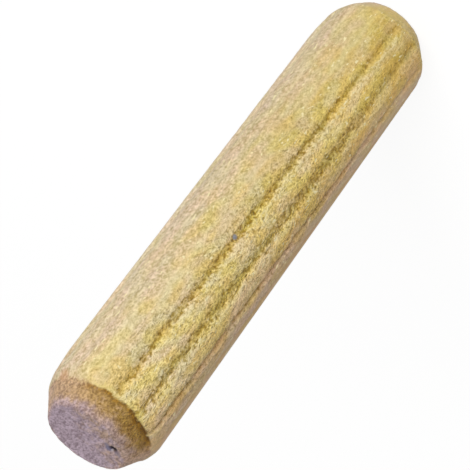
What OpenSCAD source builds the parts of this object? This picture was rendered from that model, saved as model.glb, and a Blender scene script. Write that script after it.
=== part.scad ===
// Fluted dowel pin: a straight wooden peg with pressed lengthwise flutes and a
// rounded bevel at each end. It stands on one flat end, centred on the Z axis.
// All sizes are in millimetres.

/* [Peg] */

// Diameter over the ribs that stand between the flutes
diameter = 7.94; // [6.6:0.01:12]
// Length from one flat end to the other
length = 38.1; // [20:0.1:80]

/* [End bevels] */

// Diameter at which the slope of the bevel would meet the flat end
face_diameter = 5.6; // [3.6:0.05:6.6]
// Slope of the bevel, in degrees from the peg's axis
bevel_angle = 32; // [20:1:50]
// Radius that rounds the bevel into the ribs
shoulder_radius = 2.1; // [0.6:0.1:3]
// Radius of the small round between the flat end and the bevel
face_edge_radius = 0.3; // [0.1:0.05:0.8]

/* [Flutes] */

// Number of flutes around the peg
flute_count = 15; // [6:1:20]
// Radius of the round floor of a flute
flute_radius = 0.15; // [0.1:0.01:0.3]
// Depth of a flute below the ribs
flute_depth = 0.26; // [0.1:0.01:0.35]
// Radius of the eased lips where a flute meets its ribs
flute_lip_radius = 0.22; // [0.06:0.01:0.3]

/* [Pit in the upper end] */

// Width of the small round pit
pit_width = 0.4; // [0.2:0.05:0.8]
// Depth of the pit below the flat end
pit_depth = 0.18; // [0.05:0.01:0.3]
// Distance of the pit from the axis
pit_offset = 1.95; // [0:0.05:2]
// Direction of the pit, in degrees from the X axis
pit_direction = -56; // [-180:1:180]

/* [View] */

// Part to draw

/* [Hidden] */

$fn = 96;
wood_colour = [0.80, 0.69, 0.47];

radius = diameter / 2;
face_radius = face_diameter / 2;
// The turned outline stands this far clear of the ribs, so that its shoulder crosses them cleanly
rib_clearance = 0.02;
// Each round of the outline passes its two edges by this share of its radius
round_overshoot = 0.01;
// The lips of a flute pass the rib circle and the flute's floor by this much
lip_overshoot = 0.003;
// Radius of the ball that presses the pit
pit_ball_radius = (pit_width * pit_width / 4 + pit_depth * pit_depth) / (2 * pit_depth);
// How far cutters reach past what they cut
reach = 1;

function unit(v) = v / norm(v);

// Centre of the round of radius r that fits the corner p between the points a and b.
function round_centre(a, p, b, r) =
    let (u = unit(a - p), v = unit(b - p), half = acos(u * v) / 2)
    p + unit(u + v) * r / sin(half);

// Point where that round leaves the edge from p to a.
function round_start(a, p, b, r) =
    let (u = unit(a - p), v = unit(b - p), half = acos(u * v) / 2)
    p + u * r / tan(half);

// Cutter that rounds the corner p between the points a and b to the radius r.
module corner_cutter(a, p, b, r) {
    start = round_start(a, p, b, r);
    end = round_start(b, p, a, r);
    centre = round_centre(a, p, b, r);
    out = unit(p - centre);
    difference() {
        polygon([2 * start - end, p + out * norm(start - end), 2 * end - start]);
        translate(centre + out * r * round_overshoot)
            circle(r = r);
    }
}

// Half section of the turned outline, from the lower flat end to the upper one.
module outline_half_section() {
    rib = radius + rib_clearance;
    bevel_height = (rib - face_radius) / tan(bevel_angle);
    low_axis = [0, 0];
    low_face = [face_radius, 0];
    low_shoulder = [rib, bevel_height];
    high_shoulder = [rib, length - bevel_height];
    high_face = [face_radius, length];
    high_axis = [0, length];
    difference() {
        polygon([low_axis, low_face, low_shoulder, high_shoulder, high_face, high_axis]);
        corner_cutter(low_axis, low_face, low_shoulder, face_edge_radius);
        corner_cutter(low_face, low_shoulder, high_shoulder, shoulder_radius);
        corner_cutter(low_shoulder, high_shoulder, high_face, shoulder_radius);
        corner_cutter(high_shoulder, high_face, high_axis, face_edge_radius);
    }
}

// Turned outline of the peg, with a bevel at each end.
module turned_outline() {
    rotate_extrude()
        outline_half_section();
}

// Section of one flute, opening towards +X: a round floor, a mouth and two eased lips.
module flute_section() {
    floor_x = radius - flute_depth + flute_radius;
    lip_x = radius - flute_lip_radius + lip_overshoot;
    gap = flute_radius + flute_lip_radius - lip_overshoot;
    lip_turn = acos((floor_x * floor_x + lip_x * lip_x - gap * gap) / (2 * floor_x * lip_x));
    lip_centre = lip_x * [cos(lip_turn), sin(lip_turn)];
    floor_centre = [floor_x, 0];
    mouth = (radius + reach) * [cos(lip_turn), sin(lip_turn)];
    difference() {
        union() {
            translate(floor_centre)
                circle(r = flute_radius);
            polygon([
                floor_centre,
                [lip_centre[0], -lip_centre[1]],
                [mouth[0], -mouth[1]],
                mouth,
                lip_centre
            ]);
        }
        for (side = [-1, 1])
            translate([lip_centre[0], side * lip_centre[1]])
                circle(r = flute_lip_radius);
    }
}

// Section across the ribs and flutes.
module fluted_section() {
    difference() {
        circle(r = radius);
        for (i = [0 : flute_count - 1])
            rotate(i * 360 / flute_count)
                flute_section();
    }
}

// Small round pit pressed into the upper end.
module pit() {
    rotate([0, 0, pit_direction])
        translate([pit_offset, 0, length - pit_depth + pit_ball_radius])
            rotate([90, 0, 0])
                sphere(r = pit_ball_radius);
}

// The whole peg: its fluted section, kept inside the turned outline of both ends.
module dowel_pin() {
    color(wood_colour)
        difference() {
            intersection() {
                linear_extrude(height = length)
                    fluted_section();
                turned_outline();
            }
            pit();
        }
}

dowel_pin();
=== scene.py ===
"""The looks of a fluted dowel pin: its pressed body, its wood, the floor, the lights and the camera."""

import logging
import math
from dataclasses import dataclass
from enum import Enum

import bpy
from mathutils import Matrix, Vector


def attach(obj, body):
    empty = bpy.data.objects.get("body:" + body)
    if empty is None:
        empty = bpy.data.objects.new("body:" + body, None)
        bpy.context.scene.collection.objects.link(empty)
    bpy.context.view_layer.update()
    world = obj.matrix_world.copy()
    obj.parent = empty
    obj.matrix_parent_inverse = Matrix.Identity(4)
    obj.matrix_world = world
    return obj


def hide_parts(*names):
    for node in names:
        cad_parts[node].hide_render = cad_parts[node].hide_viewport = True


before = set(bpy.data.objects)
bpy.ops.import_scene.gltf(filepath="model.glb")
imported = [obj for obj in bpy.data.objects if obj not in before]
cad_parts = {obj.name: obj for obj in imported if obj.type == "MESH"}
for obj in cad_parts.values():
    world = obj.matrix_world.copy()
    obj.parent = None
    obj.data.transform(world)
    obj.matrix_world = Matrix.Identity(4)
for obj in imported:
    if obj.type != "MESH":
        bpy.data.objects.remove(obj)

LOG = logging.getLogger("dowel_pin")
MM = 0.001
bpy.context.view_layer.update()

Colour = tuple[float, float, float, float]
WHITE: Colour = (1.0, 1.0, 1.0, 1.0)


# ---------------------------------------------------------------------------------------------------------
# Node trees, written as arithmetic
# ---------------------------------------------------------------------------------------------------------


class Blend(Enum):
    """How one colour goes over another; the value is Blender's name for it."""

    COVER = "MIX"
    TINT = "MULTIPLY"


@dataclass(frozen=True)
class Fade:
    """A smooth change from one result to another between two limits, and held beyond them."""

    low: float
    high: float
    to_low: float = 0.0
    to_high: float = 1.0


@dataclass(frozen=True)
class Signal:
    """One output socket of a tree. Arithmetic on it adds math nodes to that tree."""

    sheet: "NodeSheet"
    socket: bpy.types.NodeSocket

    def __add__(self, other: "Signal | float") -> "Signal":
        """Returns the sum."""
        return self.sheet.math("ADD", self, other)

    def __radd__(self, other: float) -> "Signal":
        """Returns the sum, for a number on the left."""
        return self.sheet.math("ADD", other, self)

    def __sub__(self, other: "Signal | float") -> "Signal":
        """Returns the difference."""
        return self.sheet.math("SUBTRACT", self, other)

    def __rsub__(self, other: float) -> "Signal":
        """Returns the difference, for a number on the left."""
        return self.sheet.math("SUBTRACT", other, self)

    def __mul__(self, other: "Signal | float") -> "Signal":
        """Returns the product."""
        return self.sheet.math("MULTIPLY", self, other)

    def __rmul__(self, other: float) -> "Signal":
        """Returns the product, for a number on the left."""
        return self.sheet.math("MULTIPLY", other, self)

    def __truediv__(self, other: "Signal | float") -> "Signal":
        """Returns the quotient."""
        return self.sheet.math("DIVIDE", self, other)

    def absolute(self) -> "Signal":
        """Returns the number without its sign."""
        return self.sheet.math("ABSOLUTE", self)

    def swing(self, strength: "Signal | float") -> "Signal":
        """Returns a noise that is moved from about 0.5 to about 0, times a strength."""
        return (self - 0.5) * strength

    def faded(self, fade: Fade) -> "Signal":
        """Carries the number through a fade.

        Args:
            fade: its limits and its results.

        Returns:
            The carried number.
        """
        given = {"Value": self, "From Min": fade.low, "From Max": fade.high}
        given |= {"To Min": fade.to_low, "To Max": fade.to_high}
        node = self.sheet.add("ShaderNodeMapRange", given, interpolation_type="SMOOTHSTEP", clamp=True)
        return self.sheet.out(node, "Result")


Place = tuple[Signal, Signal, Signal]


@dataclass(frozen=True)
class NodeSheet:
    """A node tree that is filled by calls and by arithmetic on signals."""

    tree: bpy.types.NodeTree

    def add(self, kind: str, inputs: dict | None = None, **settings: object) -> bpy.types.Node:
        """Adds a node.

        Args:
            kind: Blender's name of the node type.
            inputs: values or signals by input name or number.
            settings: the node's own properties.

        Returns:
            The new node.
        """
        node = self.tree.nodes.new(kind)
        for name, value in settings.items():
            setattr(node, name, value)
        for key, value in (inputs or {}).items():
            self.feed(node.inputs[key], value)
        return node

    def feed(self, socket: bpy.types.NodeSocket, value: object) -> None:
        """Links a signal to a socket, or sets the socket's own value.

        Args:
            socket: the input socket.
            value: a signal, a number, a tuple or a data block.
        """
        if isinstance(value, Signal):
            self.tree.links.new(value.socket, socket)
        else:
            socket.default_value = value

    def out(self, node: bpy.types.Node, key: str | int = 0) -> Signal:
        """Returns a node's output as a signal."""
        return Signal(self, node.outputs[key])

    def math(self, operation: str, *values: "Signal | float", clamp: bool = False) -> Signal:
        """Returns what a math node makes of one or two numbers, and holds it from 0 to 1 if it clamps."""
        node = self.add("ShaderNodeMath", dict(enumerate(values)), operation=operation, use_clamp=clamp)
        return self.out(node)

    def pick(self, choice: Signal, when_zero: "Signal | float", when_one: "Signal | float") -> Signal:
        """Returns a blend of two numbers by a signal between 0 and 1."""
        node = self.add("ShaderNodeMix", {0: choice, 2: when_zero, 3: when_one}, data_type="FLOAT")
        return self.out(node, 0)

    def vector(self, x: "Signal | float", y: "Signal | float", z: "Signal | float") -> Signal:
        """Returns a vector made of three numbers."""
        return self.out(self.add("ShaderNodeCombineXYZ", {0: x, 1: y, 2: z}))

    def axes(self, vector: Signal) -> Place:
        """Returns the three numbers of a vector."""
        node = self.add("ShaderNodeSeparateXYZ", {0: vector})
        return self.out(node, 0), self.out(node, 1), self.out(node, 2)

    def stored(self, name: str) -> Signal:
        """Returns a number kept on the mesh, in a material."""
        return self.out(self.add("ShaderNodeAttribute", attribute_name=name), "Fac")

    def group(self, tree: bpy.types.NodeTree, place: Signal) -> dict[str, Signal]:
        """Adds a node group that reads a place, and returns its outputs by name."""
        node = self.add("ShaderNodeGroup", {"Place": place}, node_tree=tree)
        return {socket.name: Signal(self, socket) for socket in node.outputs}

    def by_index(self, index: Signal, values: tuple) -> Signal:
        """Picks a number or a place by a whole number, in a geometry tree.

        Args:
            index: the whole number.
            values: one value for each number from 0 up.

        Returns:
            The picked value.
        """
        kind = "VECTOR" if isinstance(values[0], tuple) else "FLOAT"
        node = self.add("GeometryNodeIndexSwitch", data_type=kind)
        while len(node.index_switch_items) < len(values):
            node.index_switch_items.new()
        self.feed(node.inputs["Index"], index)
        for number, value in enumerate(values):
            self.feed(node.inputs[number + 1], value)
        return self.out(node)

    def blend(self, how: Blend, under: object, over: object, share: "Signal | float") -> Signal:
        """Returns the lower colour, covered or tinted by a share of the upper one."""
        settings = {"data_type": "RGBA", "blend_type": how.value, "clamp_factor": True}
        return self.out(self.add("ShaderNodeMix", {0: share, 6: under, 7: over}, **settings), 2)

    def cover(self, under: object, over: object, share: "Signal | float") -> Signal:
        """Returns a colour with a share of another one over it."""
        return self.blend(Blend.COVER, under, over, share)

    def tint(self, under: Signal, over: object, share: "Signal | float" = 1.0) -> Signal:
        """Returns a colour tinted by a share of another one."""
        return self.blend(Blend.TINT, under, over, share)


@dataclass(frozen=True)
class Pattern:
    """A noise: how it is squeezed along the pin, how fine and rough it is, and how far aside it is read."""

    along: float
    scale: float
    detail: float
    rough: float
    skew: float = 0.0
    aside: float = 0.0
    beside: float = 0.0

    def read(self, place: Place, seed: "Signal | float" = 0.0) -> Signal:
        """Adds the noise to the tree of a place.

        Args:
            place: where it is read, in millimetres.
            seed: how far it is moved along the pin.

        Returns:
            The noise, about 0.5.
        """
        x, y, z = place
        spot = x.sheet.vector(x + self.aside, y + self.beside, z * self.along + seed)
        given = {"Vector": spot, "Scale": self.scale, "Detail": self.detail}
        given |= {"Roughness": self.rough, "Distortion": self.skew}
        return x.sheet.out(x.sheet.add("ShaderNodeTexNoise", given, noise_dimensions="3D"))


@dataclass(frozen=True)
class Side:
    """A side of the pin: the direction it faces, in degrees, and how it fades in as the wall turns to it."""

    turn: float
    reach: Fade


@dataclass(frozen=True)
class Compass:
    """Where a place lies round the axis: its X and its Y, both over the pin's radius."""

    x: Signal
    y: Signal

    def facing(self, turn: float) -> Signal:
        """Returns how far the place faces a direction given in degrees, from -1 to 1."""
        way = math.radians(turn)
        return self.x * math.cos(way) + self.y * math.sin(way)

    def on(self, side: Side) -> Signal:
        """Returns 1 on a side and 0 off it."""
        return self.facing(side.turn).faded(side.reach)


@dataclass(frozen=True)
class Strength:
    """A strength with one part everywhere, and one more part for each of two signals."""

    everywhere: float
    first: float
    second: float

    def at(self, first: Signal, second: Signal) -> Signal:
        """Returns the strength where the two signals have their values."""
        return self.everywhere + self.first * first + self.second * second


def colour(red: int, green: int, blue: int) -> Colour:
    """Turns a screen colour into a linear one.

    Args:
        red: 0 to 255.
        green: 0 to 255.
        blue: 0 to 255.

    Returns:
        The linear colour with full alpha.
    """

    def linear(level: int) -> float:
        """Returns the linear strength of one screen level."""
        share = level / 255
        return share / 12.92 if share <= 0.04045 else ((share + 0.055) / 1.055) ** 2.4

    return linear(red), linear(green), linear(blue), 1.0


# ---------------------------------------------------------------------------------------------------------
# The pin's body
# ---------------------------------------------------------------------------------------------------------


@dataclass(frozen=True)
class PinSizes:
    """Sizes of the pin, in metres and degrees. The pit's rim and floor are shares of its width."""

    diameter: float = 7.94 * MM
    length: float = 38.1 * MM
    face_diameter: float = 5.6 * MM
    bevel_angle: float = 32.0
    shoulder_radius: float = 2.1 * MM
    face_edge_radius: float = 0.3 * MM
    lower_bevel_share: float = 0.88
    bevel_top: float = 1.46 * MM
    pit_offset: float = 1.95 * MM
    pit_direction: float = -56.0
    pit_width: float = 0.4 * MM
    pit_rim: float = 0.75
    pit_floor: float = 0.25
    pit_depth: float = 0.18 * MM
    top_zone: float = 0.05 * MM

    @property
    def radius(self) -> float:
        """The radius over the ribs."""
        return self.diameter / 2

    @property
    def bevel_height(self) -> float:
        """How far up the wall the straight slope of the bevel would reach."""
        return (self.diameter - self.face_diameter) / 2 / math.tan(math.radians(self.bevel_angle))

    def pit_place(self) -> Vector:
        """Returns where the pit opens in the upper end."""
        turn = math.radians(self.pit_direction)
        return Vector((self.pit_offset * math.cos(turn), self.pit_offset * math.sin(turn), self.length))


@dataclass(frozen=True)
class Wander:
    """A change along a flute: which noise it draws, how quick and detailed it is, and how strong."""

    draw: float
    scale: float
    detail: float
    strength: float


@dataclass(frozen=True)
class Flutes:
    """The pressed flutes, in metres and degrees. The first stands at +X.

    Shifts, depths and widths are those of each flute in turn, and wanders change them along it.
    The depth fades with the height in millimetres.
    """

    depth: float = 0.25 * MM
    span: float = 16.0
    turn: float = 9.0
    sway: float = 0.8
    shifts: tuple[float, ...] = (
        0.9, 1.5, 3.5, 2.5, 0.5, -1.0, 1.0, 0.0, -1.5, 1.0, 0.5, -0.5, -2.0, -2.6, -2.0,
    )
    depths: tuple[float, ...] = (
        0.75, 0.4, 0.35, 0.4, 0.8, 1.0, 0.85, 0.95, 1.1, 0.9, 1.0, 0.85, 1.05, 1.3, 0.41,
    )
    widths: tuple[float, ...] = (
        0.8, 1.0, 1.0, 1.0, 1.0, 0.9, 1.1, 1.0, 0.9, 1.0, 1.1, 1.0, 1.0, 0.48, 1.15,
    )
    shift_wanders: tuple[Wander, ...] = (
        Wander(1.0, 0.11, 1.0, 0.8),
        Wander(2.0, 0.9, 2.0, 0.7),
        Wander(7.0, 2.6, 2.0, 1.0),
    )
    width_wanders: tuple[Wander, ...] = (
        Wander(3.0, 0.09, 1.0, 0.12),
        Wander(4.0, 1.1, 2.0, 0.2),
        Wander(8.0, 2.9, 2.0, 0.15),
    )
    depth_wanders: tuple[Wander, ...] = (Wander(5.0, 0.12, 1.0, 0.15), Wander(6.0, 1.0, 2.0, 0.3))
    wander_rough: float = 0.55
    wander_swing: float = 2.6
    draws_apart: float = 7.31
    rows_apart: float = 3.7
    least_depth: float = 0.1
    depth_run: Fade = Fade(2.0, 16.0, 0.55, 1.0)
    ragged: Pattern = Pattern(0.6, 2.6, 2.0, 0.6)
    ragged_swing: float = 0.7
    profile: Fade = Fade(1.0, 0.0)

    @property
    def count(self) -> int:
        """How many flutes there are."""
        return len(self.shifts)


@dataclass(frozen=True)
class SurfaceMesh:
    """How finely the body is meshed. Bend draws its rings together, and crowding its columns."""

    around: int = 300
    along: int = 318
    bend: float = 0.3
    crowding: float = 0.7
    corner_points: int = 14
    clearance: float = 0.007 * MM
    merge_distance: float = 2.0e-7


@dataclass(frozen=True)
class Wear:
    """How one side is rubbed down near each end, in metres; it fades with millimetres from that end."""

    lower: float = 0.17 * MM
    upper: float = 0.14 * MM
    lower_side: Side = Side(80.0, Fade(0.87, 1.0))
    upper_side: Side = Side(103.0, Fade(0.87, 1.0))
    run: Fade = Fade(4.2, 1.8)


@dataclass(frozen=True)
class Relief:
    """The torn grain of the wall and the sawn grain of the ends, in metres.

    A run fades with millimetres along the pin. The ledge is the step from the wall down to the bevel.
    """

    seed: float = 4.7
    depth: float = 0.05 * MM
    end_depth: float = 0.03 * MM
    ledge: float = 0.045 * MM
    grains: Pattern = Pattern(0.7, 2.9, 3.0, 0.62)
    fibres: Pattern = Pattern(0.22, 2.4, 2.0, 0.55)
    grain_share: float = 0.65
    contrast: Fade = Fade(0.3, 0.7)
    rough_side: Side = Side(-22.0, Fade(0.6, 0.97))
    in_flutes: Fade = Fade(0.05, 0.5)
    strength: Strength = Strength(0.07, 0.58, 0.3)
    run: Fade = Fade(2.0, 18.0, 0.6, 1.0)
    line: Pattern = Pattern(0.1, 0.9, 3.0, 0.6)
    line_swing: float = 0.5
    line_dip: float = 0.12
    line_width: Fade = Fade(0.035, -0.035)
    sawn: Pattern = Pattern(1.0, 2.9, 3.0, 0.62)
    ledge_side: Side = Side(-45.0, Fade(-0.1, 0.7, 0.2, 1.0))
    ledge_run: Fade = Fade(0.25, 1.3)
    inward_reach: Fade = Fade(0.0, 0.3 * MM)
    upward_reach: Fade = Fade(0.1 * MM, 0.4 * MM)


@dataclass(frozen=True)
class BodyPoint:
    """One point of the turned body before it is pressed, as signals in metres.

    Number is its flute and local its degrees from that flute's middle. Out and height are its place in
    the outline, and the runs are the outline's direction there.
    """

    number: Signal
    local: Signal
    compass: Compass
    out: Signal
    height: Signal
    run_out: Signal
    run_up: Signal

    @property
    def level(self) -> Signal:
        """The height in millimetres."""
        return self.height / MM

    def place(self, radius: "Signal | float") -> Place:
        """Returns the place at a radius, all in millimetres."""
        return self.compass.x * radius, self.compass.y * radius, self.level


@dataclass(frozen=True)
class FlutedBody:
    """The pin's whole body: a turned outline with pressed flutes, made by one geometry tree."""

    sizes: PinSizes
    flutes: Flutes = Flutes()
    mesh: SurfaceMesh = SurfaceMesh()
    wear: Wear = Wear()
    relief: Relief = Relief()

    def outline(self, sheet: NodeSheet) -> Signal:
        """Draws the half outline from the lower centre, up the wall, to the upper centre.

        Args:
            sheet: the tree.

        Returns:
            The outline as a curve in the XZ plane, with its four corners rounded.
        """
        size = self.sizes
        radius, face, bevel = size.radius, size.face_diameter / 2, size.bevel_height
        edge, shoulder = size.face_edge_radius, size.shoulder_radius
        corners = (
            (0.0, 0.0, 0.0),
            (face, 0.0, 0.0),
            (radius, 0.0, bevel * size.lower_bevel_share),
            (radius, 0.0, size.length - bevel),
            (face, 0.0, size.length),
            (0.0, 0.0, size.length),
        )
        rounds = (0.0, edge, shoulder, shoulder, edge, 0.0)
        index = sheet.out(sheet.add("GeometryNodeInputIndex"))
        line = sheet.out(sheet.add("GeometryNodeMeshLine", {"Count": len(corners)}))
        places, radii = sheet.by_index(index, corners), sheet.by_index(index, rounds)
        moved = sheet.add("GeometryNodeSetPosition", {"Geometry": line, "Position": places})
        drawn = sheet.out(sheet.add("GeometryNodeMeshToCurve", {"Mesh": sheet.out(moved)}))
        given = {"Curve": drawn, "Count": self.mesh.corner_points, "Radius": radii}
        return sheet.out(sheet.add("GeometryNodeFilletCurve", given, mode="POLY"))

    def point(self, sheet: NodeSheet, turn: Signal) -> BodyPoint:
        """Rolls the flat grid round the outline.

        Args:
            sheet: the tree.
            turn: how many degrees the flutes turn along the pin.

        Returns:
            The point of the body for each point of the grid.
        """
        here = sheet.out(sheet.add("GeometryNodeInputPosition"))
        across, along, _ = sheet.axes(here)
        across, along = across + 0.5, along + 0.5
        # Rings lie closer together towards both ends.
        circle = 2 * math.pi
        share = along - sheet.math("SINE", along * circle) * (self.mesh.bend / circle)
        sample = sheet.add("GeometryNodeSampleCurve", mode="FACTOR", use_all_curves=True)
        sheet.feed(sample.inputs["Curves"], self.outline(sheet))
        sheet.feed(sample.inputs["Factor"], share)
        out, _, height = sheet.axes(sheet.out(sample, "Position"))
        run_out, _, run_up = sheet.axes(sheet.out(sample, "Tangent"))
        # Points lie closer together in the flutes than on the ribs.
        count, near = self.flutes.count, self.mesh.crowding
        cell = across * count
        flute = sheet.math("ROUND", cell)
        offset = cell - flute
        offset = offset * (near + (1 - near) * 4 * offset * offset)
        number = sheet.math("FLOORED_MODULO", flute, float(count))
        pitch = 360.0 / count
        local = offset * pitch
        twist = (height / self.sizes.length - 0.5) * turn
        angle = (flute * pitch + local + twist) * math.radians(1.0)
        compass = Compass(sheet.math("COSINE", angle), sheet.math("SINE", angle))
        return BodyPoint(number, local, compass, out, height, run_out, run_up)

    def wandering(
        self,
        point: BodyPoint,
        seed: Signal,
        steady: tuple[float, ...],
        wanders: tuple[Wander, ...],
        share: "Signal | float" = 1.0,
    ) -> Signal:
        """Changes a size of each flute slowly and quickly along the pin.

        Args:
            point: the point of the body.
            seed: the noises' seed.
            steady: the size, one number for each flute.
            wanders: the changes.
            share: how much of them is added.

        Returns:
            The size at this point.
        """
        flutes = self.flutes
        draw, row = point.number * flutes.draws_apart + seed, point.number * flutes.rows_apart
        changes = []
        for wander in wanders:
            place = (draw + wander.draw, point.level * wander.scale, row)
            noise = Pattern(1.0, 1.0, wander.detail, flutes.wander_rough).read(place)
            changes.append(noise.swing(flutes.wander_swing) * wander.strength)
        return point.number.sheet.by_index(point.number + 0.5, steady) + sum(changes, 0.0) * share

    def pressed(self, point: BodyPoint, given: dict[str, Signal]) -> tuple[Signal, Signal, Signal]:
        """Presses the flutes: soft round lips, a round floor and ragged flanks.

        Args:
            point: the point of the body.
            given: the tree's inputs.

        Returns:
            The groove from 0 to 1, the way from its middle over its half width, and its depth.
        """
        flutes, seed = self.flutes, given["Seed"]
        middle = self.wandering(point, seed, flutes.shifts, flutes.shift_wanders, given["Sway"])
        width = self.wandering(point, seed, flutes.widths, flutes.width_wanders)
        deep = self.wandering(point, seed, flutes.depths, flutes.depth_wanders)
        deep = deep.sheet.math("MAXIMUM", deep, flutes.least_depth) * point.level.faded(flutes.depth_run)
        ragged = flutes.ragged.read(point.place(self.sizes.radius / MM), seed).swing(flutes.ragged_swing)
        reach = (point.local - middle) / (given["Flute span"] * 0.5 * width) + ragged
        return reach.absolute().faded(flutes.profile), reach, deep

    def rubbed(self, point: BodyPoint) -> Signal:
        """Rubs one side down a little near each end.

        Args:
            point: the point of the body.

        Returns:
            How much is rubbed off.
        """
        wear, top = self.wear, self.sizes.length
        lower = point.compass.on(wear.lower_side) * point.level.faded(wear.run) * wear.lower
        above = (top - point.height) / MM
        return lower + point.compass.on(wear.upper_side) * above.faded(wear.run) * wear.upper

    def torn_grain(self, point: BodyPoint, groove: Signal, given: dict[str, Signal]) -> Signal:
        """Tears the wall's grain, most of all in the flutes and on the rough side.

        Args:
            point: the point of the body.
            groove: 1 in a flute and 0 on a rib.
            given: the tree's inputs.

        Returns:
            How far the wall is lowered.
        """
        relief, place = self.relief, point.place(self.sizes.radius / MM)
        grains = relief.grains.read(place, given["Seed"]).faded(relief.contrast)
        fibres = relief.fibres.read(place, given["Seed"]).faded(relief.contrast)
        torn = grains * relief.grain_share + fibres * (1.0 - relief.grain_share)
        rough = point.compass.on(relief.rough_side)
        strength = relief.strength.at(rough, groove.faded(relief.in_flutes) * rough)
        return torn * given["Relief"] * strength * point.level.faded(relief.run)

    def tree(self, material: bpy.types.Material) -> bpy.types.NodeTree:
        """Builds the geometry tree.

        Args:
            material: what the body is finished in.

        Returns:
            The tree, with the sizes as named inputs.
        """
        size, flutes, fine, relief = self.sizes, self.flutes, self.mesh, self.relief
        tree = bpy.data.node_groups.new("pressed_flutes", "GeometryNodeTree")
        tree.is_modifier = True
        tree.interface.new_socket("Geometry", in_out="OUTPUT", socket_type="NodeSocketGeometry")
        inputs = {
            "Flute depth": flutes.depth,
            "Flute span": flutes.span,
            "Flute turn": flutes.turn,
            "Sway": flutes.sway,
            "Relief": relief.depth,
            "End relief": relief.end_depth,
            "Ledge": relief.ledge,
            "Seed": relief.seed,
        }
        for name, value in inputs.items():
            socket = tree.interface.new_socket(name, in_out="INPUT", socket_type="NodeSocketFloat")
            socket.default_value = value
        sheet = NodeSheet(tree)
        source = sheet.add("NodeGroupInput")
        given = {name: sheet.out(source, name) for name in inputs}

        point = self.point(sheet, given["Flute turn"])
        groove, reach, deep = self.pressed(point, given)
        wall = size.radius - fine.clearance - groove * given["Flute depth"] * deep
        radius = sheet.math("MINIMUM", point.out, wall) - self.rubbed(point) * point.run_up

        # Each bevel ends on the wall in an uneven line.
        end = sheet.math("MINIMUM", point.height, size.length - point.height) / MM
        line = relief.line.read(point.place(size.radius / MM)).swing(relief.line_swing)
        line = size.bevel_top / MM + (line - groove * deep * relief.line_dip)
        on_bevel = (end - line).faded(relief.line_width)

        # The wall's grain is torn, and that of the bevels and ends is sawn.
        sawn = relief.sawn.read(point.place(point.out / MM)).faded(relief.contrast)
        ledge = given["Ledge"] * point.compass.on(relief.ledge_side) * end.faded(relief.ledge_run)
        lowered = self.torn_grain(point, groove, given)
        inward = sheet.pick(on_bevel, lowered, sawn * given["End relief"] + ledge)
        radius = radius - inward * point.run_up * point.out.faded(relief.inward_reach)
        height = point.height + inward * point.run_out * point.out.faded(relief.upward_reach)

        # The pit in the upper end.
        pit = size.pit_place()
        x, y = radius * point.compass.x, radius * point.compass.y
        away = sheet.math("SQRT", (x - pit.x) * (x - pit.x) + (y - pit.y) * (y - pit.y))
        at_top = sheet.math("GREATER_THAN", point.height, size.length - size.top_zone)
        hollow = away.faded(Fade(size.pit_rim * size.pit_width, size.pit_floor * size.pit_width))
        height = height - hollow * at_top * size.pit_depth

        grid = {"Size X": 1.0, "Size Y": 1.0, "Vertices X": fine.around + 1, "Vertices Y": fine.along}
        body = sheet.out(sheet.add("GeometryNodeMeshGrid", grid))
        kept = {
            "groove": groove * (1.0 - on_bevel),
            "groove_side": reach,
            "bevel": on_bevel,
            "bevel_line": end - line,
            "face": point.out / MM,
        }
        for name, value in kept.items():
            node = sheet.add("GeometryNodeStoreNamedAttribute", data_type="FLOAT", domain="POINT")
            for key, entry in {"Geometry": body, "Name": name, "Value": value}.items():
                sheet.feed(node.inputs[key], entry)
            body = sheet.out(node)
        for kind, values in (
            ("GeometryNodeSetPosition", {"Position": sheet.vector(x, y, height)}),
            ("GeometryNodeMergeByDistance", {"Distance": fine.merge_distance}),
            ("GeometryNodeSetShadeSmooth", {"Shade Smooth": True}),
            ("GeometryNodeRealizeInstances", {}),
            ("GeometryNodeSetMaterial", {"Material": material}),
        ):
            body = sheet.out(sheet.add(kind, {"Geometry": body, **values}))
        sheet.add("NodeGroupOutput", {0: body})
        return tree

    def build(self, material: bpy.types.Material) -> bpy.types.Object:
        """Returns the body as a plain mesh, finished in a material."""
        return plain_piece("fluted_body", self.tree(material))


def plain_piece(name: str, tree: bpy.types.NodeTree) -> bpy.types.Object:
    """Runs a geometry tree once and keeps its result as a plain mesh.

    Args:
        name: the piece's name.
        tree: the geometry tree.

    Returns:
        The piece, at the origin and with no modifier.
    """
    seed_mesh = bpy.data.meshes.new(name + "_start")
    carrier = bpy.data.objects.new(name + "_carrier", seed_mesh)
    bpy.context.collection.objects.link(carrier)
    modifier = carrier.modifiers.new("geometry", "NODES")
    modifier.node_group = tree
    bpy.context.view_layer.update()
    ready = carrier.evaluated_get(bpy.context.evaluated_depsgraph_get())
    mesh = bpy.data.meshes.new_from_object(ready)
    mesh.name = name
    piece = bpy.data.objects.new(name, mesh)
    bpy.context.collection.objects.link(piece)
    carrier.modifiers.remove(modifier)
    bpy.data.objects.remove(carrier)
    bpy.data.meshes.remove(seed_mesh)
    return piece


# ---------------------------------------------------------------------------------------------------------
# Finishes
# ---------------------------------------------------------------------------------------------------------


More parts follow.
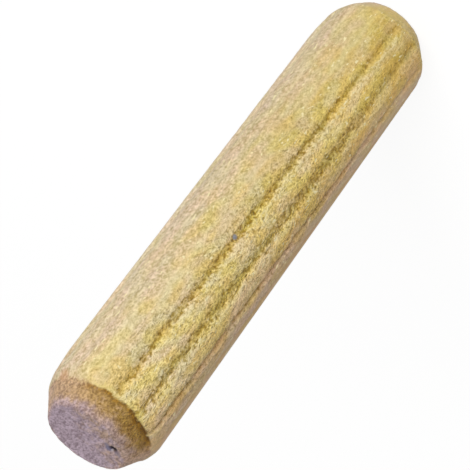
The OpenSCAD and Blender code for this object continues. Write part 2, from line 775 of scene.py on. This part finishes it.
@dataclass(frozen=True)
class WoodColours:
    """Colours of the pin's wood."""

    golden: Colour = colour(227, 205, 145)
    rosy: Colour = colour(222, 200, 161)
    cream: Colour = colour(253, 239, 188)
    # These tint what lies under them.
    crumb_dark: Colour = (0.667, 0.635, 0.5, 1.0)
    crumb_light: Colour = (1.29, 1.32, 1.48, 1.0)
    pinkish: Colour = (1.04, 0.945, 1.0, 1.0)
    greenish: Colour = (0.97, 1.03, 0.95, 1.0)
    strawish: Colour = (1.0, 0.975, 0.72, 1.0)
    palish: Colour = (0.99, 1.02, 1.26, 1.0)
    # The stain is partly painted shade in the flute floors.
    stain: Colour = (0.87, 0.815, 0.485, 1.0)
    deep_stain: Colour = (0.72, 0.62, 0.32, 1.0)
    # The next tint is painted shade: the warm cast of the far side, away from the lamp.
    shaded: Colour = (1.07, 0.965, 0.865, 1.0)
    aged: Colour = (0.93, 0.9, 0.69, 1.0)
    # The next tint is a painted rim light along the edge of the smooth side.
    pale: Colour = (1.13, 1.155, 1.17, 1.0)
    darker_low_end: Colour = (0.83, 0.805, 0.7, 1.0)
    yellow_brown: Colour = (1.0, 0.96, 0.82, 1.0)
    # The next tint is painted shade beside each torn flute; the one after it is painted light on the torn
    # ribs.
    flank_shade: Colour = (0.92, 0.9, 0.86, 1.0)
    painted_rib_light: Colour = (1.22, 1.21, 1.185, 1.0)
    hollow: Colour = (0.6, 0.54, 0.4, 1.0)
    cut_dark: Colour = (0.6, 0.56, 0.56, 1.0)
    cut_light: Colour = (1.35, 1.37, 1.38, 1.0)
    # These, like the first three, cover it.
    rust: Colour = colour(150, 104, 62)
    lip: Colour = colour(252, 228, 138)
    bevel_pink: Colour = colour(195, 162, 128)
    bevel_golden: Colour = colour(173, 137, 67)
    bevel_brown: Colour = colour(137, 98, 29)
    bevel_line: Colour = colour(156, 114, 34)
    bevel_deep: Colour = colour(98, 62, 0)
    bevel_rosy: Colour = colour(208, 170, 142)
    bevel_edge: Colour = colour(206, 156, 112)
    # The lilac is the bluish cast of shade, painted into the end grain's colour.
    end_shade_lilac: Colour = colour(185, 164, 176)
    end_tan: Colour = colour(192, 159, 124)
    # The pit's dark is painted shade, and its rim's pale is a painted highlight.
    pit: Colour = colour(30, 16, 26)
    pit_rim: Colour = colour(226, 216, 222)
    smudge: Colour = colour(116, 114, 142)
    speck: Colour = colour(146, 152, 168)
    straw: Colour = colour(206, 200, 88)


def start_group(name: str, outputs: tuple[str, ...]) -> tuple[NodeSheet, Place]:
    """Starts a shader group that reads a place and gives numbers.

    Args:
        name: the group's name.
        outputs: the names of its numbers.

    Returns:
        The group's sheet, and the place it reads.
    """
    group = bpy.data.node_groups.new(name, "ShaderNodeTree")
    group.interface.new_socket("Place", in_out="INPUT", socket_type="NodeSocketVector")
    for output in outputs:
        group.interface.new_socket(output, in_out="OUTPUT", socket_type="NodeSocketFloat")
    sheet = NodeSheet(group)
    return sheet, sheet.axes(sheet.out(sheet.add("NodeGroupInput"), "Place"))


@dataclass(frozen=True)
class GrainGroup:
    """A shader group of torn long grain: grit, crumbs, flecks, fibres, pores and patches of hue."""

    name: str = "long_grain"
    patterns: tuple[tuple[str, Pattern], ...] = (
        ("Grit", Pattern(0.62, 9.4, 2.0, 0.7)),
        ("Crumb", Pattern(0.75, 4.6, 2.0, 0.6, aside=17.0)),
        ("Fleck", Pattern(0.4, 5.2, 1.0, 0.5, beside=23.0)),
        ("Fibre", Pattern(0.22, 4.8, 2.0, 0.6)),
        ("Streak", Pattern(0.05, 1.7, 2.0, 0.55, beside=37.0)),
        ("Pore", Pattern(0.66, 5.2, 1.0, 0.5, aside=31.0)),
        ("Cloud", Pattern(0.35, 0.75, 2.0, 0.55)),
        ("Hue", Pattern(0.5, 1.0, 1.0, 0.45, beside=53.0)),
        ("Flush", Pattern(0.5, 1.1, 1.0, 0.45, aside=91.0)),
        ("Patch", Pattern(0.4, 0.95, 2.0, 0.6, beside=71.0)),
    )
    bumps: tuple[tuple[str, Fade], ...] = (
        ("Grit", Fade(0.25, 0.75, 0.0, 0.35)),
        ("Crumb", Fade(0.25, 0.75, 0.0, 0.4)),
        ("Pore", Fade(0.32, 0.46, 0.0, 0.3)),
    )

    def build(self) -> bpy.types.NodeTree:
        """Builds the group.

        Returns:
            The group, with Place in, and its noises and the Height of its bumps out.
        """
        sheet, place = start_group(self.name, (*(name for name, _ in self.patterns), "Height"))
        outs = {name: pattern.read(place) for name, pattern in self.patterns}
        outs["Height"] = sum((outs[name].faded(fade) for name, fade in self.bumps), 0.0)
        sheet.add("NodeGroupOutput", outs)
        return sheet.tree


@dataclass(frozen=True)
class EndGrainGroup:
    """A shader group of end grain: cut pores and soft patches, as a sawn face shows them."""

    name: str = "end_grain"
    ray_width: float = 0.6
    small: Pattern = Pattern(1.0, 7.4, 2.0, 0.7)
    middle: Pattern = Pattern(1.0, 3.3, 2.0, 0.6)
    small_share: float = 0.62
    tone: Pattern = Pattern(1.0, 1.1, 3.0, 0.55)
    patch: Pattern = Pattern(1.0, 2.2, 2.0, 0.6, skew=0.4)
    bumps: Fade = Fade(0.3, 0.7)

    def build(self) -> bpy.types.NodeTree:
        """Builds the group.

        Returns:
            The group, with Place in, and Pores, Tone, Patch and Height out.
        """
        sheet, place = start_group(self.name, ("Pores", "Tone", "Patch", "Height"))
        x, y, z = place
        rays = (x * self.ray_width, y, z)
        pores = self.small.read(rays) * self.small_share + self.middle.read(rays) * (1.0 - self.small_share)
        outs = {"Pores": pores, "Tone": self.tone.read(place), "Patch": self.patch.read(place)}
        sheet.add("NodeGroupOutput", outs | {"Height": pores.faded(self.bumps)})
        return sheet.tree


@dataclass(frozen=True)
class WallLook:
    """Where the wall's colours lie. A run fades with the height in millimetres.

    A swing is how strongly a noise shifts a limit, and across means half widths from a flute's middle.
    """

    cloud_swing: float = 0.4
    golden: Side = Side(-3.5, Fade(0.5, 0.95))
    torn: Side = Side(-20.0, Fade(0.3, 0.97))
    stained: Fade = Fade(0.74, 0.92)
    stained_uneven: float = 0.4
    hidden_stain: Fade = Fade(-0.3, 0.3, 0.35, 1.0)
    # Patches of hue, sides that are darker or yellow-brown, a painted rim light, painted rib light and
    # painted warm shade.
    patch_swing: float = 0.8
    hue_change: Fade = Fade(0.36, 0.64)
    blush: float = 0.5
    cast: Strength = Strength(0.2, 0.2, 0.5)
    pale: Side = Side(80.0, Fade(0.965, 0.99))
    aged_run: Fade = Fade(34.0, 2.0)
    darker_low_end: Side = Side(-11.0, Fade(0.9, 0.95))
    darker_low_end_run: Fade = Fade(9.0, 3.5)
    yellow_brown: Side = Side(-36.0, Fade(0.93, 0.99))
    yellow_brown_run: Fade = Fade(34.0, 16.0)
    painted_rib_light: Side = Side(-14.0, Fade(0.86, 0.97))
    shaded: Side = Side(-66.0, Fade(0.78, 0.95))
    # Crumbs.
    flank: Side = Side(66.0, Fade(0.55, 1.0))
    fine: Strength = Strength(0.1, 2.6, 1.8)
    fine_run: Fade = Fade(2.0, 20.0, 0.42, 1.0)
    coarse: Strength = Strength(0.2, 1.35, 1.9)
    coarse_run: Fade = Fade(2.0, 20.0, 0.85, 1.0)
    streak_swing: float = 0.45
    fibre_swing: float = 0.4
    # Flutes.
    streak_across: Fade = Fade(0.5, 0.1, 0.0, 0.14)
    # The golden stain in the flute floors, partly painted shade.
    stain_middle: float = 0.1
    stain_across: Fade = Fade(0.75, 0.15)
    stain_swing: float = 1.6
    stain_floor: Fade = Fade(0.02, 0.35)
    stain_run: Fade = Fade(2.0, 14.0, 0.5, 1.0)
    stain_front: Fade = Fade(0.93, 0.99, 1.0, 0.8)
    stain_slant: float = 0.06
    stain_flank: Fade = Fade(-0.2, 0.6)
    spot_crumbs: float = 0.6
    spots: Fade = Fade(0.53, 0.43)
    # Painted shade beside each torn flute, and a painted highlight on its lit edge.
    flank_shade_outer: Fade = Fade(1.6, 0.8)
    flank_shade_inner: Fade = Fade(-0.1, 0.5)
    lit_inner: Fade = Fade(-0.45, -0.8)
    lit_outer: Fade = Fade(-1.65, -1.1)
    lit_crumbs: Fade = Fade(0.42, 0.56, 0.0, 0.42)
    unlit: float = 0.8
    # Pores and flecks.
    pores: Fade = Fade(0.37, 0.3)
    pores_torn: Fade = Fade(0.2, 1.0, 0.04, 0.75)
    pores_run: Fade = Fade(2.0, 16.0, 0.3, 1.0)
    flecks: Fade = Fade(0.665, 0.73, 0.0, 0.9)


@dataclass(frozen=True)
class EndLook:
    """Where the colours of the bevels and sawn ends lie. Bands are in millimetres above the bevel's edge.

    A swing is how strongly a noise shifts a limit, and an uneven number is a share of both swings.
    """

    brown_side: float = -36.0
    lip_side: float = 10.0
    tone_swing: float = 0.8
    patch_swing: float = 0.7
    golden: Fade = Fade(-0.2, 0.7)
    tan_patches: float = 0.6
    tan: Fade = Fade(0.47, 0.6, 0.0, 0.6)
    brown: Fade = Fade(0.7, 0.98)
    brown_uneven: float = 0.5
    brown_band: Fade = Fade(-1.7, -0.8)
    lilac_band: Fade = Fade(-0.7, -1.4, 0.0, 0.6)
    line_width: Fade = Fade(0.8, 0.97, -0.34, -0.89)
    line_uneven: float = 0.5
    line_swing: float = 0.8
    line: Fade = Fade(1.0, 0.15)
    line_least: float = 0.35
    line_dark: float = 0.57
    dark: Fade = Fade(0.1, 0.55)
    deep: Fade = Fade(0.82, 0.95)
    deep_uneven: float = 0.15
    rosy: Fade = Fade(0.36, 0.06, 0.0, 0.8)
    rosy_uneven: float = 0.3
    bevel_pores: float = 4.8
    bevel_cut: float = 0.95
    lip_front: Fade = Fade(0.1, 0.6)
    lip_round: Fade = Fade(0.25, 0.55)
    lip_swing: float = 2.4
    lip_band: Fade = Fade(0.5, 0.06, 0.0, 0.35)
    soft_pores: float = 1.2
    soft_patches: float = 0.8
    soft_band: Fade = Fade(0.2, -0.3)
    # The lower bevel is hardly burnished.
    upper_run: Fade = Fade(10.0, 20.0, 0.15, 1.0)
    face_swing: float = 1.2
    face_tan: Fade = Fade(-0.1, 0.85, 0.0, 0.75)
    face_pores: float = 4.6
    face_edge_swing: float = 0.7
    face_outside: float = 0.26
    face_inside: float = 0.32


@dataclass(frozen=True)
class Mark:
    """A small round mark on the wood, in millimetres; where tall is small, height hardly counts."""

    centre: tuple[float, float, float]
    reach: float
    share: float
    paint: Colour
    tall: float = 1.0
    rim: float = 1.25
    core: float = 0.55


@dataclass(frozen=True)
class Spot:
    """One place of the pin's wood, as signals.

    It has the place and height in millimetres, the noises by name, and what the wood is like: golden
    rather than rosy, torn rather than smooth, and stained in its flutes, each from 0 to 1. Towards is how
    far it faces the torn side, or the side across from it.
    """

    sheet: NodeSheet
    place: Signal
    z: Signal
    compass: Compass
    grain: dict[str, Signal]
    ends: dict[str, Signal]
    golden: Signal
    torn: Signal
    stained: Signal
    towards: Signal


@dataclass(frozen=True)
class PinWood:
    """The body's wood: long grain on the flutes and ribs, a burnished bevel and sawn ends."""

    sizes: PinSizes
    grain: bpy.types.NodeTree
    end_grain: bpy.types.NodeTree
    colours: WoodColours = WoodColours()
    look: WallLook = WallLook()
    end_look: EndLook = EndLook()
    name: str = "pin_wood"
    sawn_bumps: float = 0.7
    smooth_bumps: float = 0.09
    torn_bumps: float = 1.03
    bump_run: Fade = Fade(2.0, 18.0, 0.5, 1.0)
    bump_height: float = 0.12 * MM
    roughness: Fade = Fade(0.3, 0.7, 0.6, 0.78)
    specular: float = 0.22
    sheen: float = 0.2
    sheen_roughness: float = 0.35

    def spot(self, sheet: NodeSheet) -> Spot:
        """Reads the place and its grain, and finds what the wood is like there.

        Args:
            sheet: the material's tree.

        Returns:
            The place with its signals.
        """
        look, radius = self.look, self.sizes.radius / MM
        here = sheet.out(sheet.add("ShaderNodeTexCoord"), "Object")
        place = sheet.out(sheet.add("ShaderNodeMapping", {"Vector": here, "Scale": (1 / MM, 1 / MM, 1 / MM)}))
        grain, ends = sheet.group(self.grain, place), sheet.group(self.end_grain, place)
        x, y, z = sheet.axes(place)
        compass = Compass(x / radius, y / radius)
        uneven = grain["Cloud"].swing(look.cloud_swing)
        golden = (compass.facing(look.golden.turn).absolute() + uneven).faded(look.golden.reach)
        front = compass.facing(look.torn.turn)
        towards = front.absolute()
        torn = (towards + uneven).faded(look.torn.reach)
        stained = (towards + uneven * look.stained_uneven).faded(look.stained)
        stained = stained * front.faded(look.hidden_stain)
        return Spot(sheet, place, z, compass, grain, ends, golden, torn, stained, towards)

    def build(self) -> bpy.types.Material:
        """Builds the material.

        Returns:
            The material.
        """
        material = bpy.data.materials.new(self.name)
        material.use_nodes = True
        material.node_tree.nodes.clear()
        sheet = NodeSheet(material.node_tree)
        spot = self.spot(sheet)
        floor = self.stain(spot)
        skin = self.bare_wood(spot)
        skin = self.crumbs(spot, skin)
        for layer in (self.fluting, self.pores):
            skin = layer(spot, skin, floor)
        for layer in (self.bevel, self.face, self.marks):
            skin = layer(spot, skin)

        bumps = sheet.pick(sheet.stored("bevel"), spot.grain["Height"], spot.ends["Height"] * self.sawn_bumps)
        bumps = (self.smooth_bumps + self.torn_bumps * spot.torn * spot.torn) * bumps
        bumps = bumps * spot.z.faded(self.bump_run)
        raised = {"Strength": 1.0, "Distance": self.bump_height, "Height": bumps}
        given = {
            "Base Color": skin,
            "Roughness": spot.grain["Grit"].faded(self.roughness),
            "Specular IOR Level": self.specular,
            "Sheen Weight": self.sheen,
            "Sheen Roughness": self.sheen_roughness,
            "Normal": sheet.out(sheet.add("ShaderNodeBump", raised)),
        }
        shader = sheet.add("ShaderNodeBsdfPrincipled", given)
        sheet.add("ShaderNodeOutputMaterial", {"Surface": sheet.out(shader)})
        return material

    def bare_wood(self, spot: Spot) -> Signal:
        """Colours the wood golden or rosy, with patches of hue, tints some of its sides, and paints a rim
        light along one.

        Args:
            spot: the place.

        Returns:
            The wood's colour.
        """
        sheet, tint, look, grain = spot.sheet, self.colours, self.look, spot.grain
        golden = sheet.math("ADD", spot.golden, grain["Patch"].swing(look.patch_swing), clamp=True)
        wood = sheet.cover(tint.rosy, tint.golden, golden)
        blush = sheet.cover(tint.pinkish, tint.greenish, grain["Flush"].faded(look.hue_change))
        wood = sheet.tint(wood, blush, look.blush)
        cast = sheet.cover(tint.strawish, tint.palish, grain["Hue"].faded(look.hue_change))
        wood = sheet.tint(wood, cast, look.cast.at(spot.golden, spot.torn))
        # A painted rim light: a paler strip along the edge of the smooth side. Deeper wood towards the lower
        # end of the golden sides, and a torn side darker at its lower end and yellow-brown along its middle
        # and lower part.
        for paint, share in (
            (tint.pale, spot.compass.on(look.pale)),
            (tint.aged, spot.z.faded(look.aged_run) * spot.golden),
            (tint.darker_low_end, spot.compass.on(look.darker_low_end) * spot.z.faded(look.darker_low_end_run)),
            (tint.yellow_brown, spot.compass.on(look.yellow_brown) * spot.z.faded(look.yellow_brown_run)),
        ):
            wood = sheet.tint(wood, paint, share)
        return wood

    def crumbs(self, spot: Spot, wood: Signal) -> Signal:
        """Lays light and dark crumbs and fibres over the wood.

        Args:
            spot: the place.
            wood: the colour so far.

        Returns:
            The colour with its crumbs.
        """
        sheet, tint, look, grain = spot.sheet, self.colours, self.look, spot.grain
        rough, flank = spot.torn * spot.torn, spot.compass.on(look.flank)
        fine = grain["Grit"].swing(look.fine.at(rough, flank)) * spot.z.faded(look.fine_run)
        coarse = grain["Crumb"].swing(look.coarse.at(rough, flank))
        long = grain["Streak"].swing(look.streak_swing) + grain["Fibre"].swing(look.fibre_swing)
        tone = fine + (coarse + long) * spot.z.faded(look.coarse_run)
        tone = sheet.math("ADD", tone, 0.5, clamp=True)
        return sheet.tint(wood, sheet.cover(tint.crumb_dark, tint.crumb_light, tone))

    def stain(self, spot: Spot) -> Signal:
        """Finds the golden stain on the floors of the torn flutes, which is partly painted shade.

        Args:
            spot: the place.

        Returns:
            How strong the stain is, from 0 to 1.
        """
        look, z = self.look, spot.z
        groove, side = spot.sheet.stored("groove"), spot.sheet.stored("groove_side")
        within = (side - look.stain_middle).absolute() + spot.grain["Crumb"].swing(look.stain_swing)
        floor = within.faded(look.stain_across) * spot.stained * groove.faded(look.stain_floor)
        floor = floor * z.faded(look.stain_run) * spot.towards.faded(look.stain_front)
        # Lower down, the stain and its painted shade leave the flutes' lit flanks.
        return floor * (side + z * look.stain_slant).faded(look.stain_flank)

    def fluting(self, spot: Spot, wood: Signal, floor: Signal) -> Signal:
        """Colours the flutes and the ribs between them.

        Args:
            spot: the place.
            wood: the colour so far.
            floor: how strong the stain is.

        Returns:
            The colour with its flutes.
        """
        sheet, tint, look, stained = spot.sheet, self.colours, self.look, spot.stained
        crumb, side = spot.grain["Crumb"], sheet.stored("groove_side")
        # A pale streak where the wood is smooth, and a spotted golden stain where it is torn, partly painted
        # shade.
        streak = side.absolute().faded(look.streak_across) * (1.0 - stained)
        wood = sheet.cover(wood, tint.cream, streak)
        spots = crumb * look.spot_crumbs + spot.grain["Pore"] * (1.0 - look.spot_crumbs)
        wood = sheet.tint(wood, tint.stain, floor)
        wood = sheet.tint(wood, tint.deep_stain, floor * spots.faded(look.spots))
        # Painted light on the torn ribs, painted shade on the flank beside each torn flute, and a painted
        # highlight, broken up by crumbs, on the lit edge beside each flute.
        wood = sheet.tint(wood, tint.painted_rib_light, spot.torn * spot.compass.on(look.painted_rib_light) * (1.0 - floor))
        wood = sheet.tint(wood, tint.flank_shade, side.faded(look.flank_shade_outer) * side.faded(look.flank_shade_inner) * stained)
        warm_shade = spot.compass.on(look.shaded)
        lit = side.faded(look.lit_inner) * side.faded(look.lit_outer) * stained * (1.0 - warm_shade * look.unlit)
        wood = sheet.cover(wood, tint.cream, lit * crumb.faded(look.lit_crumbs))
        # Painted shade: a warm, redder cast on the far side of the torn flutes, away from the lamp.
        return sheet.tint(wood, tint.shaded, warm_shade)

    def pores(self, spot: Spot, wood: Signal, floor: Signal) -> Signal:
        """Adds open pores, and pale flecks of torn fibre.

        Args:
            spot: the place.
            wood: the colour so far.
            floor: how strong the stain is.

        Returns:
            The wall's finished colour.
        """
        sheet, tint, look = spot.sheet, self.colours, self.look
        pores = spot.grain["Pore"].faded(look.pores) * spot.torn.faded(look.pores_torn)
        wood = sheet.tint(wood, tint.hollow, pores * spot.z.faded(look.pores_run))
        return sheet.cover(wood, tint.cream, spot.grain["Fleck"].faded(look.flecks) * (1.0 - floor))

    def cut(self, spot: Spot, contrast: float) -> Signal:
        """Returns the dark and light tint of cut pores."""
        tint = self.colours
        return spot.sheet.cover(tint.cut_dark, tint.cut_light, 0.5 + spot.ends["Pores"].swing(contrast))

    def bevel(self, spot: Spot, wood: Signal) -> Signal:
        """Lays the bevel's brown over the wood, with a dark line at its edge and a bright lip above it.

        Args:
            spot: the place.
            wood: the colour so far.

        Returns:
            The colour with both bevels.
        """
        sheet, tint, look = spot.sheet, self.colours, self.end_look
        pores, tone, patch = (spot.ends[name] for name in ("Pores", "Tone", "Patch"))
        line = sheet.stored("bevel_line")
        uneven = tone.swing(look.tone_swing) + patch.swing(look.patch_swing)
        facing, lip_facing = spot.compass.facing(look.brown_side), spot.compass.facing(look.lip_side)
        sloped = sheet.cover(tint.bevel_pink, tint.bevel_golden, (facing + uneven).faded(look.golden))
        tan = patch * look.tan_patches + pores * (1.0 - look.tan_patches)
        sloped = sheet.cover(sloped, tint.end_tan, tan.faded(look.tan))
        brown = (facing + uneven * look.brown_uneven).faded(look.brown)
        sloped = sheet.cover(sloped, tint.bevel_brown, brown * line.faded(look.brown_band))
        # The lilac band next to the face is the bluish cast of shade, painted in.
        sloped = sheet.cover(sloped, tint.end_shade_lilac, (line + uneven).faded(look.lilac_band))
        # The line is dark where the bevel is brown, and it widens there; elsewhere it is a soft tan edge.
        depth = line + uneven * look.line_uneven + pores.swing(look.line_swing)
        depth = (depth / facing.faded(look.line_width)).faded(look.line)
        dark = (facing + uneven * look.brown_uneven).faded(look.dark)
        deep = (facing + uneven * look.deep_uneven).faded(look.deep)
        line_tint = sheet.cover(tint.bevel_line, tint.bevel_deep, deep)
        line_tint = sheet.cover(tint.bevel_edge, line_tint, dark)
        sloped = sheet.cover(sloped, line_tint, depth * (look.line_least + look.line_dark * dark))
        # The brown fades to pink round the side.
        rosy = (lip_facing + uneven * look.rosy_uneven).faded(look.rosy)
        sloped = sheet.cover(sloped, tint.bevel_rosy, rosy)
        sloped = sheet.tint(sloped, self.cut(spot, look.bevel_pores), look.bevel_cut)
        # A bright, torn lip of wood just above the bevel.
        within = facing.faded(look.lip_front) * lip_facing.faded(look.lip_round)
        lip = (line + patch.swing(look.lip_swing)).faded(look.lip_band)
        wood = sheet.cover(wood, tint.lip, lip * within)
        # The edge is sharp where it is dark, and soft elsewhere.
        soft = (line + pores.swing(look.soft_pores) + patch.swing(look.soft_patches)).faded(look.soft_band)
        share = sheet.pick(dark, soft, sheet.stored("bevel"))
        return sheet.cover(wood, sloped, share * spot.z.faded(look.upper_run))

    def face(self, spot: Spot, skin: Signal) -> Signal:
        """Lays the end grain over both sawn faces, its lilac the bluish cast of shade painted in.

        Args:
            spot: the place.
            skin: the colour so far.

        Returns:
            The colour with both faces.
        """
        sheet, tint, look, patch = spot.sheet, self.colours, self.end_look, spot.ends["Patch"]
        tan = spot.compass.facing(look.brown_side)
        tan = tan + spot.ends["Tone"].swing(look.face_swing) + patch.swing(look.face_swing)
        flat = sheet.cover(tint.end_shade_lilac, tint.end_tan, tan.faded(look.face_tan))
        flat = sheet.tint(flat, self.cut(spot, look.face_pores))
        edge = self.sizes.face_diameter / 2 / MM
        on_face = sheet.stored("face") + patch.swing(look.face_edge_swing)
        on_face = on_face.faded(Fade(edge + look.face_outside, edge - look.face_inside))
        return sheet.cover(skin, flat, on_face)

    def marks(self, spot: Spot, skin: Signal) -> Signal:
        """Adds painted shade in the pit with a painted highlight on its rim, and the small marks: blue-grey
        ones, rusty ones and pale ones.

        Args:
            spot: the place.
            skin: the colour so far.

        Returns:
            The colour with its marks.
        """
        sheet, tint = spot.sheet, self.colours
        pit = self.sizes.pit_place() / MM
        marks = (
            Mark((3.74, 0.27, 22.93), 0.21, 0.9, tint.speck),
            Mark((3.76, 0.42, 22.6), 0.13, 0.6, tint.straw),
            Mark((3.77, 0.33, 22.15), 0.2, 0.45, tint.rust),
            Mark((3.62, 1.6, 7.0), 0.12, 0.8, tint.cream),
            Mark((1.68, 3.52, 36.58), 0.46, 0.45, tint.bevel_edge),
            Mark((1.75, 3.48, 36.5), 0.24, 0.4, tint.bevel_edge),
            Mark((2.56, -3.0, 36.35), 0.13, 0.7, tint.rust),
            Mark((3.66, -1.45, 36.4), 0.12, 0.45, tint.rust),
            Mark((pit.x - 0.08, pit.y + 0.42, pit.z), 0.22, 0.75, tint.smudge, 0.2),
            Mark((pit.x - 0.3, pit.y + 0.19, pit.z), 0.24, 0.85, tint.smudge, 0.2),
            Mark((pit.x - 0.18, pit.y - 0.43, pit.z), 0.24, 0.5, tint.smudge, 0.2),
            # Painted shade in the pit, and a painted highlight on its near rim.
            Mark((pit.x + 0.02, pit.y, pit.z), 0.3, 0.98, tint.pit, 0.2),
            Mark((pit.x - 0.28, pit.y - 0.02, pit.z), 0.1, 0.45, tint.pit_rim, 0.2),
        )
        for mark in marks:
            x, y, z = mark.centre
            flat = {0: spot.place, 1: (1, 1, mark.tall)}
            squashed = sheet.out(sheet.add("ShaderNodeVectorMath", flat, operation="MULTIPLY"))
            ends = {0: squashed, 1: (x, y, z * mark.tall)}
            away = sheet.out(sheet.add("ShaderNodeVectorMath", ends, operation="DISTANCE"), "Value")
            fade = Fade(mark.reach * mark.rim, mark.reach * mark.core, 0.0, mark.share)
            skin = sheet.cover(skin, mark.paint, away.faded(fade))
        return skin


# ---------------------------------------------------------------------------------------------------------
# Floor, lights and camera
# ---------------------------------------------------------------------------------------------------------


@dataclass(frozen=True)
class PaleFloor:
    """A plain pale floor under the pin."""

    half_width: float = 1.6
    tone: Colour = colour(236, 236, 236)
    shadow_share: float = 0.25
    white: float = 1.17

    def material(self) -> bpy.types.Material:
        """Makes the floor's finish: matt, and nearly white to the eye.

        Returns:
            The material.
        """
        finish = bpy.data.materials.new("pale_floor")
        finish.use_nodes = True
        finish.node_tree.nodes.clear()
        sheet = NodeSheet(finish.node_tree)
        matt = sheet.add("ShaderNodeBsdfDiffuse", {"Color": self.tone})
        white = sheet.add("ShaderNodeEmission", {"Color": WHITE, "Strength": self.white})
        seen = sheet.out(sheet.add("ShaderNodeLightPath"), "Is Camera Ray")
        share = seen * (1.0 - self.shadow_share)
        mixed = sheet.add("ShaderNodeMixShader", {0: share, 1: sheet.out(matt), 2: sheet.out(white)})
        sheet.add("ShaderNodeOutputMaterial", {"Surface": sheet.out(mixed)})
        return finish

    def build(self) -> bpy.types.Object:
        """Lays the floor.

        Returns:
            The floor.
        """
        half = self.half_width
        corners = [(-half, -half, 0), (half, -half, 0), (half, half, 0), (-half, half, 0)]
        mesh = bpy.data.meshes.new("floor")
        mesh.from_pydata(corners, [], [(0, 1, 2, 3)])
        mesh.materials.append(self.material())
        floor = bpy.data.objects.new("floor", mesh)
        bpy.context.collection.objects.link(floor)
        return floor


@dataclass(frozen=True)
class SoftStudio:
    """One square soft lamp and the even light around it, in metres, degrees and watts."""

    target: Vector
    azimuth: float = 29.5
    elevation: float = 30.0
    distance: float = 0.4
    width: float = 0.3
    power: float = 1.1
    around: float = 0.345

    def hang_lamp(self) -> None:
        """Hangs the lamp so that it looks at the middle of the pin."""
        turn, rise = math.radians(self.azimuth), math.radians(self.elevation)
        way = Vector((math.cos(rise) * math.cos(turn), math.cos(rise) * math.sin(turn), math.sin(rise)))
        data = bpy.data.lights.new("key_lamp", "AREA")
        data.shape = "SQUARE"
        data.size = self.width
        data.energy = self.power
        lamp = bpy.data.objects.new("key_lamp", data)
        lamp.location = self.target + way * self.distance
        lamp.rotation_euler = (-way).to_track_quat("-Z", "Y").to_euler()
        bpy.context.collection.objects.link(lamp)

    def build(self) -> None:
        """Hangs the lamp and sets the world, which is white to the eye."""
        self.hang_lamp()
        world = bpy.data.worlds.new("studio")
        bpy.context.scene.world = world
        world.use_nodes = True
        world.node_tree.nodes.clear()
        sheet = NodeSheet(world.node_tree)
        path = sheet.add("ShaderNodeLightPath")
        seen = sheet.math("MAXIMUM", sheet.out(path, "Is Camera Ray"), sheet.out(path, "Is Glossy Ray"))
        strength = sheet.pick(seen, self.around, 1.0)
        sky = sheet.add("ShaderNodeBackground", {"Color": WHITE, "Strength": strength})
        sheet.add("ShaderNodeOutputWorld", {"Surface": sheet.out(sky)})


@dataclass(frozen=True)
class StudioCamera:
    """The camera: it looks down on the upper end, and is rolled so that the pin lies across the frame.

    Its place is in units of one radius, and its sensor in millimetres.
    """

    target: Vector
    azimuth: float = 4.5
    unit: float = 3.97 * MM
    focal_pixels: float = 2122.0
    frame_pixels: float = 470.0
    sensor: float = 36.0
    nearest: float = 0.005
    farthest: float = 20.0
    place: tuple = (28.897, 0.0, 18.556)
    right: tuple = (0.31609586, -0.80540714, -0.50140079)
    up: tuple = (0.42951986, 0.59272198, -0.68131736)

    def build(self) -> bpy.types.Object:
        """Sets the camera up.

        Returns:
            The camera.
        """
        data = bpy.data.cameras.new("camera")
        data.sensor_fit = "HORIZONTAL"
        data.sensor_width = self.sensor
        data.lens = self.focal_pixels / self.frame_pixels * self.sensor
        data.clip_start = self.nearest
        data.clip_end = self.farthest
        data.dof.use_dof = False
        camera = bpy.data.objects.new("camera", data)
        turn = Matrix.Rotation(math.radians(self.azimuth), 3, "Z")
        right = turn @ Vector(self.right)
        up = turn @ Vector(self.up)
        back = right.cross(up)
        facing = Matrix((right, up, back)).transposed().to_4x4()
        facing.translation = self.target + turn @ Vector(self.place) * self.unit
        camera.matrix_world = facing
        bpy.context.collection.objects.link(camera)
        bpy.context.scene.camera = camera
        return camera


# ---------------------------------------------------------------------------------------------------------


def main() -> None:
    """Builds the camera, the floor, the lights and the body with its finish, and reports the body."""
    logging.basicConfig(level=logging.INFO, format="%(name)s: %(message)s")
    sizes = PinSizes()
    middle = Vector((0.0, 0.0, sizes.length / 2))
    StudioCamera(middle).build()
    PaleFloor().build()
    SoftStudio(middle).build()
    wood = PinWood(sizes, GrainGroup().build(), EndGrainGroup().build()).build()
    body = FlutedBody(sizes).build(wood)
    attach(body, "root")
    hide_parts("dowel_pin")
    LOG.info("%s: %d faces", body.name, len(body.data.polygons))
    bpy.context.scene.view_settings.view_transform = "Standard"


if __name__ == "__main__":
    main()
